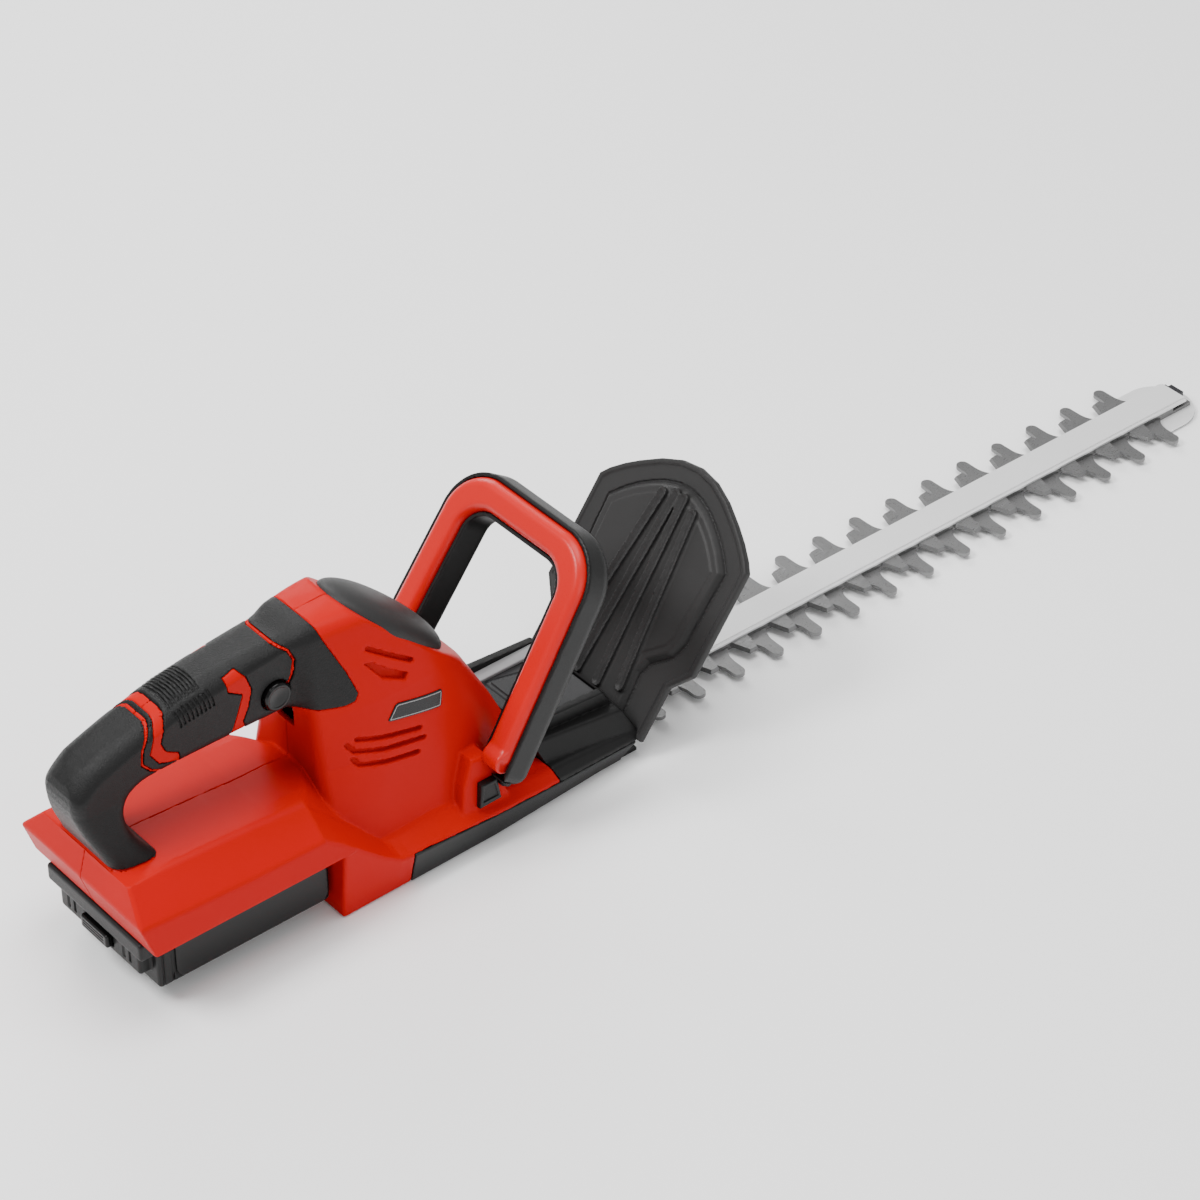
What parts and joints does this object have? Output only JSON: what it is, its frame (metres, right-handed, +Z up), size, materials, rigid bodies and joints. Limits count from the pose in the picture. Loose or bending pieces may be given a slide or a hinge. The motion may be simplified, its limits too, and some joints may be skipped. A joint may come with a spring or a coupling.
{
  "type": "hedge trimmer",
  "caption": "Cordless hedge trimmer with a reciprocating double-sided blade, slide-in battery pack, loop front handle, rear grip and hand guard.",
  "frame": {"origin": "centre of the bounding box on the ground, with the tool resting on its flat underside", "axes": "+X along the blade towards its tip, +Y to the left of a user looking along the blade, +Z up"},
  "size_m": [0.8937, 0.14, 0.184],
  "materials": {
    "red_shell": "satin moulded plastic",
    "black_shell": "fine textured moulded plastic",
    "soft_grip": "soft overmoulded rubber",
    "gloss_black": "glossy moulded plastic",
    "grey_plate": "matte moulded plastic",
    "brushed_steel": "ground steel",
    "bright_steel": "bright drawn metal",
    "dark_steel": "blackened steel",
    "die_cast": "die-cast metal",
    "copper": "plated copper",
    "green_board": "circuit board",
    "cell_wrap": "shrink wrap"
  },
  "bodies": {
    "body": {"housing_right": "red_shell", "housing_left": "red_shell", "housing_screws": "dark_steel", "motor_cap": "gloss_black", "grip_sleeve_rear": "soft_grip", "grip_sleeve_middle": "soft_grip", "grip_sleeve_front": "soft_grip", "hand_guard": "black_shell", "guard_screws": "dark_steel", "skirt": "black_shell", "nose_cover": "black_shell", "gear_plate": "grey_plate", "bottom_cover": "black_shell", "cover_screws": "dark_steel", "handle_frame": "black_shell", "bail_pins": "dark_steel", "bail_switch": "black_shell", "trigger_pin": "dark_steel", "trigger_spring": "brushed_steel", "trigger_switch": "black_shell", "terminal_block": "black_shell", "terminal_blades": "copper", "control_board": "green_board", "motor_can": "brushed_steel", "motor_bearings": "brushed_steel", "motor_end_bell": "black_shell", "crank_axle": "brushed_steel", "gearcase": "die_cast", "gearcase_lid": "die_cast", "comb_blade": "brushed_steel", "blade_rail": "bright_steel", "rail_bolts": "dark_steel", "blade_nose": "bright_steel", "rail_end_clip": "dark_steel"},
    "battery": {"pack_case": "black_shell", "pack_lid": "black_shell", "pack_cells": "cell_wrap", "pack_board": "green_board"},
    "battery_latch": {"pack_release": "gloss_black"},
    "front_bail": {"handle_bail": "red_shell"},
    "trigger": {"rear_trigger": "black_shell"},
    "lock": {"lock_button": "gloss_black"},
    "crank": {"crank_gear": "brushed_steel", "crank_pin": "brushed_steel"},
    "rotor": {"motor_rotor": "dark_steel", "motor_shaft": "brushed_steel", "motor_fan": "black_shell", "motor_pinion": "brushed_steel"},
    "cutter": {"cutter_blade": "brushed_steel"}
  },
  "joints": [
    {"name": "battery_slide", "type": "slide", "parent": "body", "child": "battery", "axis": [-1, 0, 0], "range_m": [0, 0.14]},
    {"name": "battery_release_press", "type": "slide", "parent": "battery", "child": "battery_latch", "axis": [1, 0, 0], "range_m": [0, 0.003], "stiffness_N_per_m": 1500, "springref_m": -0.001},
    {"name": "front_bail_squeeze", "type": "hinge", "parent": "body", "child": "front_bail", "pos_m": [-0.18505, 0, 0.05949], "axis": [0, 1, 0], "range_deg": [0, 2], "stiffness_Nm_per_rad": 20, "springref_deg": -1.15},
    {"name": "trigger_squeeze", "type": "hinge", "parent": "body", "child": "trigger", "pos_m": [-0.296, 0, 0.14], "axis": [0, 1, 0], "range_deg": [0, 6], "stiffness_Nm_per_rad": 4, "springref_deg": -1.15, "deforming": ["trigger_spring"]},
    {"name": "lock_button_press", "type": "slide", "parent": "body", "child": "lock", "axis": [0, 1, 0], "range_m": [0, 0.003], "stiffness_N_per_m": 1500, "springref_m": -0.001},
    {"name": "crank_spin", "type": "hinge", "parent": "body", "child": "crank", "pos_m": [-0.205, 0, 0.03], "axis": [0, 0, 1], "continuous": true},
    {"name": "motor_spin", "type": "hinge", "parent": "body", "child": "rotor", "pos_m": [-0.238, 0, 0.08], "axis": [0, 0, 1], "continuous": true},
    {"name": "cutter_stroke", "type": "slide", "parent": "body", "child": "cutter", "axis": [1, 0, 0], "range_m": [-0.008, 0.008]}
  ],
  "couplings": [
    {"joint": "motor_spin", "follows": "crank_spin", "ratio": -5.6}
  ]
}
